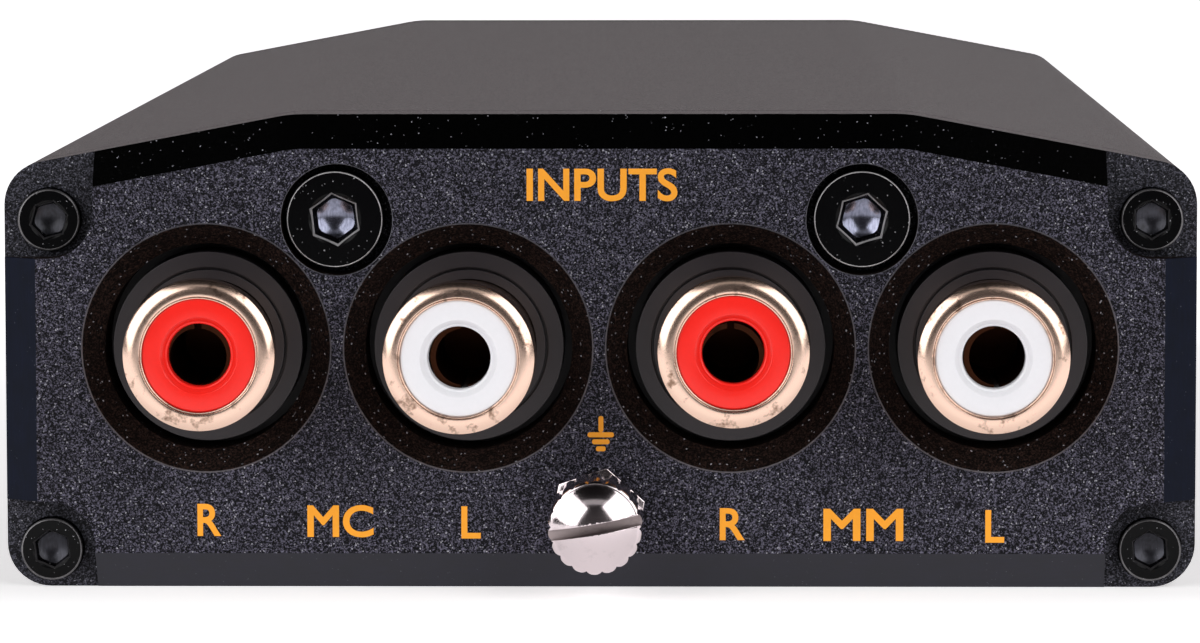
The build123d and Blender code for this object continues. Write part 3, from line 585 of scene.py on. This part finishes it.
SMALL = {
    "rim": SOFT_RIM_HIGHLIGHT, "bottom": DIM_SOCKET_HIGHLIGHT, "radius": 1.77, "height": 1.6, "edge": 0.11,
    "across": 1.92, "inner": 1.66, "depth": 0.8, "shank": 1.0, "length": 8.0,
}
LARGE = {
    "rim": BRIGHT_EDGE_HIGHLIGHT, "bottom": BRIGHT_SOCKET_HIGHLIGHT, "radius": 2.73, "height": 3.0, "edge": 0.07,
    "across": 2.6, "inner": 2.05, "depth": 1.2, "shank": 1.5, "length": 8.0,
}


def screw_set(node, end, places, sink, sizes, turns):
    """Fine screws in place of a CAD node; turns are the sockets' angles in degrees."""
    for number, ((x, z), turn) in enumerate(zip(places, turns), start=1):
        spot = facing(end, x, end * (abs(FACE) - sink), z)
        screw = socket_screw(f"{node}_fine_{number}", spot, turn, **sizes)
        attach(screw, "housing")
        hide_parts(node)


LEFT_SCREW, RIGHT_SCREW = (-15.04, JACK_SCREW_Z), (14.92, JACK_SCREW_Z)
screw_set("input_plate_screws", -1, CORNERS, CORNER_SINK, SMALL, (-15, 0, 8, 3))
screw_set("output_plate_screws", 1, CORNERS, CORNER_SINK, SMALL, (12, -8, 20, 5))
screw_set("input_jack_screws", -1, [LEFT_SCREW, RIGHT_SCREW], JACK_SCREW_SINK, LARGE, (7, -13))
screw_set("output_jack_screw", 1, [RIGHT_SCREW], JACK_SCREW_SINK, LARGE, (18,))


# ---------- Ground terminal ----------
def lobed_bar(low, high):
    """A bar whose section is a ring of round lobes: one arc, repeated round the axis."""
    bm = bmesh.new()
    half = math.pi / LOBES
    inward = LOBE_RING * math.sin(half)
    valley = LOBE_RING * math.cos(half) + math.sqrt(LOBE_RADIUS ** 2 - inward ** 2)
    x, y = valley * math.cos(half), valley * math.sin(half)
    start = bm.verts.new((x, -y, low))
    bmesh.ops.spin(
        bm, geom=[start], cent=(LOBE_RING, 0, low), axis=(0, 0, 1),
        angle=2 * math.atan2(y, x - LOBE_RING), steps=8,
    )
    bmesh.ops.spin(
        bm, geom=bm.verts[:] + bm.edges[:], cent=(0, 0, 0), axis=(0, 0, 1),
        angle=math.tau - 2 * half, steps=LOBES - 1, use_duplicate=True,
    )
    bmesh.ops.remove_doubles(bm, verts=bm.verts, dist=WELD)
    extruded(bm, high - low)
    return bm


def slot_cutter(skins, place):
    """The bar that cuts the screwdriver slot."""
    height = 2.5
    bm = bmesh.new()
    bmesh.ops.create_cube(bm, size=1)
    bmesh.ops.scale(bm, vec=(8, SLOT_WIDTH, height), verts=bm.verts)
    swung(bm, math.radians(SLOT_TURN))
    bmesh.ops.translate(bm, vec=(0, 0, SLOT_FLOOR + height / 2), verts=bm.verts)
    return cutter(bm, "slot_cutter", 1, skins, place)


def ground_screw():
    """Thumb screw: lobed grip with a rounded shoulder, slotted polished dome, shank."""
    place = facing(-1, GROUND_X, FACE - GRIP_FRONT, GROUND_Z)
    skins = [CHROME, MILLED]
    turned = place @ Matrix.Rotation(math.radians(LOBE_TURN), 4, "Z")
    head = finish_piece(lobed_bar(-GRIP_LENGTH, 1), "ground_screw_head", skins, turned)
    outline = [(0, -GRIP_LENGTH), (GRIP_RADIUS - GRIP_CHAMFER, -GRIP_LENGTH)]
    outline += [(GRIP_RADIUS, GRIP_CHAMFER - GRIP_LENGTH)]
    outline += arc((GRIP_RADIUS - SHOULDER_RADIUS, -0.3), SHOULDER_RADIUS, 0, 86, 8)
    outline += arc((0, DOME_TOP - DOME_RADIUS), DOME_RADIUS, 50.85, 90, 16)
    envelope = finish_piece(spun(outline, 144), "envelope", skins, place)
    slot = slot_cutter(skins, place)
    softened = {
        "width": 0.03 * MM, "segments": 2, "limit_method": "ANGLE",
        "angle_limit": math.radians(32),
    }
    shaped(
        head, 30,
        ("BOOLEAN", {"operation": "INTERSECT", "object": envelope}),
        ("BOOLEAN", {"operation": "DIFFERENCE", "object": slot}),
        ("BEVEL", softened),
    )
    bpy.data.objects.remove(envelope)
    bpy.data.objects.remove(slot)
    root, tip = 4.9, -6.2  # inside the grip, and behind the face
    bar = spun([(0, root), (SHANK_RADIUS, root), (SHANK_RADIUS, tip), (0, tip)], 64)
    shank = finish_piece(bar, "ground_screw_shank", [CHROME], facing(-1, GROUND_X, FACE, GROUND_Z))
    for piece in (head, shank):
        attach(piece, "thumb_screw")
        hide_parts("ground_screw")


def ground_bush():
    """Hexagonal flange with softened edges, and the threaded tube behind it."""
    bm = bmesh.new()
    bmesh.ops.create_circle(bm, segments=6, radius=FLANGE_ACROSS / math.sqrt(3))
    first = bm.verts[:][0].co
    swung(bm, math.radians(FLANGE_TURN) - math.atan2(first.y, first.x))
    extruded(bm, FLANGE_DEPTH)
    bmesh.ops.bevel(
        bm, geom=bm.edges[:], offset=0.06, segments=2, profile=0.5, affect="EDGES", material=-1
    )
    place = facing(-1, GROUND_X, FACE, GROUND_Z)
    flange = finish_piece(bm, "ground_bush_flange", [CHROME], place)
    plug = spun([(0, -1), (BUSH_BORE, -1), (BUSH_BORE, 2), (0, 2)], 64)
    bore = finish_piece(plug, "bore_cutter", [CHROME], place)
    shaped(flange, 30, ("BOOLEAN", {"operation": "DIFFERENCE", "object": bore}))
    bpy.data.objects.remove(bore)
    wall = [(BUSH_BORE, 0), (BUSH_RADIUS, 0)]
    wall += [(BUSH_RADIUS, -PLATE_THICKNESS), (BUSH_BORE, -PLATE_THICKNESS)]
    tube = finish_piece(spun(wall, 64), "ground_bush_tube", [SHADED_BRASS], place)
    for piece in (flange, tube):
        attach(piece, "housing")
        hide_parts("ground_bush")


def ground_washer():
    """Thin washer with rounded edges, between the flange and the grip."""
    back, front = FLANGE_DEPTH, GRIP_FRONT - GRIP_LENGTH
    edge, middle = 0.1, 2.2  # radius of the rounded edge, and where its middle runs
    outline = [(BUSH_BORE, back)] + arc((middle, back + edge), edge, -90, 0, 3)
    outline += arc((middle, front - edge), edge, 0, 90, 3) + [(BUSH_BORE, front)]
    place = facing(-1, GROUND_X, FACE, GROUND_Z)
    washer = finish_piece(spun(outline, 96), "ground_washer_fine", [CHROME], place)
    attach(washer, "washer")
    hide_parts("ground_washer")


ground_screw()
ground_bush()
ground_washer()


# ---------- Print on the input plate ----------
def word(text, left, right, low, high):
    """Printed capitals that fill a box on the face, in millimetres."""
    curve = bpy.data.curves.new("print_" + text, "FONT")
    curve.body = text
    curve.bevel_depth = 0.02
    curve.extrude = 0.01
    curve.resolution_u = 6
    letters = bpy.data.objects.new("print_" + text, curve)
    bpy.context.scene.collection.objects.link(letters)
    mesh = evaluated_mesh(letters)
    bpy.data.objects.remove(letters)
    bm = bmesh.new()
    bm.from_mesh(mesh)
    bmesh.ops.remove_doubles(bm, verts=bm.verts, dist=WELD)
    bmesh.ops.dissolve_degenerate(bm, edges=bm.edges, dist=WELD)
    xs = [v.co.x for v in bm.verts]
    ys = [v.co.y for v in bm.verts]
    fill = ((right - left) / (max(xs) - min(xs)), (high - low) / (max(ys) - min(ys)), 0.4)
    bmesh.ops.translate(bm, vec=(-min(xs), -min(ys), 0), verts=bm.verts)
    bmesh.ops.scale(bm, vec=fill, verts=bm.verts)
    bmesh.ops.translate(bm, vec=(left, low, 0), verts=bm.verts)
    name = f"print_{text}_{int(left * 10 + 500)}"  # its place tells equal words apart
    piece = finish_piece(bm, name, [ORANGE], facing(-1, 0, FACE, 0))
    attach(piece, "housing")


for text, left, right, low, high in (
    ("INPUTS", -4.11, 4.45, 22.22, 24.10),
    ("R", -22.95, -21.59, 3.08, 4.93),
    ("MC", -16.67, -12.89, 3.01, 4.87),
    ("L", -7.88, -6.77, 2.95, 4.80),
    ("R", 6.85, 8.28, 2.87, 4.71),
    ("MM", 12.75, 17.30, 2.83, 4.68),
    ("L", 21.96, 23.04, 2.74, 4.61),
):
    word(text, left, right, low, high)


def stroke(bm, x0, x1, z0, z1):
    """A printed stroke with round ends."""
    made = bmesh.ops.create_cube(bm, size=1)["verts"]
    bmesh.ops.scale(bm, vec=(x1 - x0, 0.02, z1 - z0), verts=made)
    bmesh.ops.translate(bm, vec=((x0 + x1) / 2, 0, (z0 + z1) / 2), verts=made)
    ends = [e for v in made for e in v.link_edges if abs(e.verts[0].co.y - e.verts[1].co.y) > 0.01]
    bmesh.ops.bevel(
        bm, geom=list(set(ends)), offset=0.13, segments=4, profile=0.5, affect="EDGES",
        material=-1,
    )


sign = bmesh.new()
for box in (
    (-0.05, 0.23, 9.05, 9.98),
    (-0.67, 0.83, 8.76, 9.05),
    (-0.42, 0.58, 8.36, 8.65),
    (-0.2, 0.36, 7.96, 8.25),
):
    stroke(sign, *box)
symbol = finish_piece(sign, "print_earth", [ORANGE], Matrix.Translation((0, FACE, 0)))
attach(symbol, "housing")


# ---------- Floor and room ----------
def node_in(tree, kind, *ins, operation=None, clamp=False):
    """Add a node whose first inputs are the given sockets or values."""
    node = tree.nodes.new("ShaderNode" + kind)
    if operation:
        node.operation = operation
    if clamp:
        node.use_clamp = True
    for index, value in enumerate(ins):
        if isinstance(value, bpy.types.NodeSocket):
            tree.links.new(value, node.inputs[index])
        else:
            node.inputs[index].default_value = value
    return node


def math_in(tree, operation, *ins, clamp=False):
    """The result of a calculation with sockets or values."""
    return node_in(tree, "Math", *ins, operation=operation, clamp=clamp).outputs[0]


def background_rays(tree, part):
    """1 for camera rays, and a part of 1 for glossy and transmitted rays."""
    rays = tree.nodes.new("ShaderNodeLightPath").outputs
    shiny = math_in(tree, "ADD", rays["Is Glossy Ray"], rays["Is Transmission Ray"])
    placed = math_in(tree, "MULTIPLY", shiny, part)
    return math_in(tree, "ADD", placed, rays["Is Camera Ray"], clamp=True)


floor_bm = bmesh.new()
bmesh.ops.create_grid(floor_bm, x_segments=2, y_segments=2, size=2)
bmesh.ops.translate(floor_bm, vec=(0, 0, -0.01 * MM), verts=floor_bm.verts)
floor_mesh = bpy.data.meshes.new("floor")
floor_bm.to_mesh(floor_mesh)
floor_bm.free()
floor = bpy.data.objects.new("floor", floor_mesh)
bpy.context.scene.collection.objects.link(floor)

# White paper whose glow dims to grey where it meets the case, a painted shadow; far in front of it
# only the camera sees it white.
paper = bpy.data.materials.new("paper")
paper.use_nodes = True
tree = paper.node_tree
tree.nodes.clear()
footprint = (HALF_WIDTH * MM, -FACE * MM, 0)
where = node_in(tree, "TexCoord").outputs["Object"]
past = node_in(tree, "VectorMath", where, operation="ABSOLUTE").outputs[0]
past = node_in(tree, "VectorMath", past, footprint, operation="SUBTRACT").outputs[0]
past = node_in(tree, "VectorMath", past, (0, 0, 0), operation="MAXIMUM").outputs[0]
reach = node_in(tree, "VectorMath", past, operation="LENGTH").outputs["Value"]
along = node_in(tree, "SeparateXYZ", where).outputs["Y"]
lit_part = node_in(tree, "MapRange", along, -0.26, -0.13, 0.0, 1.0).outputs[0]
# Glow 0.5 at the case, rising to 1 from 26 mm out: painted shadow round the footprint.
white = node_in(tree, "MapRange", reach, 0.001, 0.026, 0.5, 1.0).outputs[0]
glow = node_in(tree, "Emission", (1, 0.99, 1, 1), white).outputs[0]
matt = node_in(tree, "BsdfDiffuse", (0.9, 0.9, 0.9, 1)).outputs[0]
sheet = node_in(tree, "AddShader", glow, matt).outputs[0]
shine = math_in(tree, "MULTIPLY", lit_part, 0.85)
pool = node_in(tree, "Emission", (1, 0.95, 0.96, 1), shine).outputs[0]
either = node_in(tree, "MixShader", background_rays(tree, lit_part), pool, sheet).outputs[0]
node_in(tree, "OutputMaterial", either)
floor_mesh.materials.append(paper)

# The room is brightest behind the case, low down and to the right; the camera sees it white.
studio = bpy.data.worlds.new("studio")
bpy.context.scene.world = studio
studio.use_nodes = True
tree = studio.node_tree
tree.nodes.clear()
axes = node_in(tree, "SeparateXYZ", node_in(tree, "TexCoord").outputs["Generated"]).outputs
backdrop = node_in(tree, "MapRange", axes["Y"], 0.1, 0.9, 0.03, 1.0).outputs[0]
for axis, limits in (("Z", (0.25, 0.6, 1.0, 0.1)), ("X", (-0.4, 0.4, 0.8, 1.6))):
    fade = node_in(tree, "MapRange", axes[axis], *limits).outputs[0]
    backdrop = math_in(tree, "MULTIPLY", backdrop, fade)
half = math_in(tree, "MULTIPLY", backdrop, 0.5)
room = node_in(tree, "Background", (1, 0.9, 0.925, 1), backdrop).outputs[0]
seen = node_in(tree, "Background", (1, 1, 1, 1), 1.05).outputs[0]
either = node_in(tree, "MixShader", background_rays(tree, half), room, seen).outputs[0]
node_in(tree, "OutputWorld", either)


# ---------- Lights and camera ----------
def softbox(name, azimuth, elevation, distance, wide, tall, power, roll=0):
    """Area light that looks at the input end; azimuth 0 is straight in front of it."""
    light = bpy.data.lights.new(name, "AREA")
    light.shape = "RECTANGLE"
    light.size, light.size_y = wide, tall
    light.energy = power
    lamp = bpy.data.objects.new(name, light)
    a, e = math.radians(azimuth), math.radians(elevation)
    way = Vector((math.sin(a) * math.cos(e), -math.cos(a) * math.cos(e), math.sin(e)))
    target = Vector((0, FACE * MM, 0.012))
    lamp.location = target + way * distance
    aim = way.to_track_quat("Z", "Y").to_matrix()
    lamp.rotation_euler = (aim @ Matrix.Rotation(math.radians(roll), 3, "Z")).to_euler()
    bpy.context.scene.collection.objects.link(lamp)


softbox("key_left", -47, 21, 0.5, 0.42, 0.4, 1.62, -24)
softbox("key_right", 46, 24, 0.5, 0.4, 0.4, 1.4, 24)
softbox("high_bar", 0, 40, 0.5, 0.4, 0.08, 0.05)

camera_data = bpy.data.cameras.new("camera")
camera_data.lens = 178.126
camera_data.sensor_width = 36
camera_data.clip_start = 0.01
camera = bpy.data.objects.new("camera", camera_data)
eye = [size * MM for size in (6.974, FACE - 335.98, 45.127)]
yaw, pitch, roll = 0.02062, 0.0883, -0.00158  # in radians
level = math.cos(pitch)
ahead = Vector((-math.sin(yaw) * level, math.cos(yaw) * level, -math.sin(pitch)))
across = Vector((math.cos(yaw), math.sin(yaw), 0))
upward = across.cross(ahead)
side = math.cos(roll) * across + math.sin(roll) * upward
top = -math.sin(roll) * across + math.cos(roll) * upward
camera.matrix_world = Matrix((
    (side.x, top.x, -ahead.x, eye[0]),
    (side.y, top.y, -ahead.y, eye[1]),
    (side.z, top.z, -ahead.z, eye[2]),
    (0, 0, 0, 1),
))
bpy.context.scene.collection.objects.link(camera)
bpy.context.scene.camera = camera
bpy.context.scene.view_settings.view_transform = "Standard"
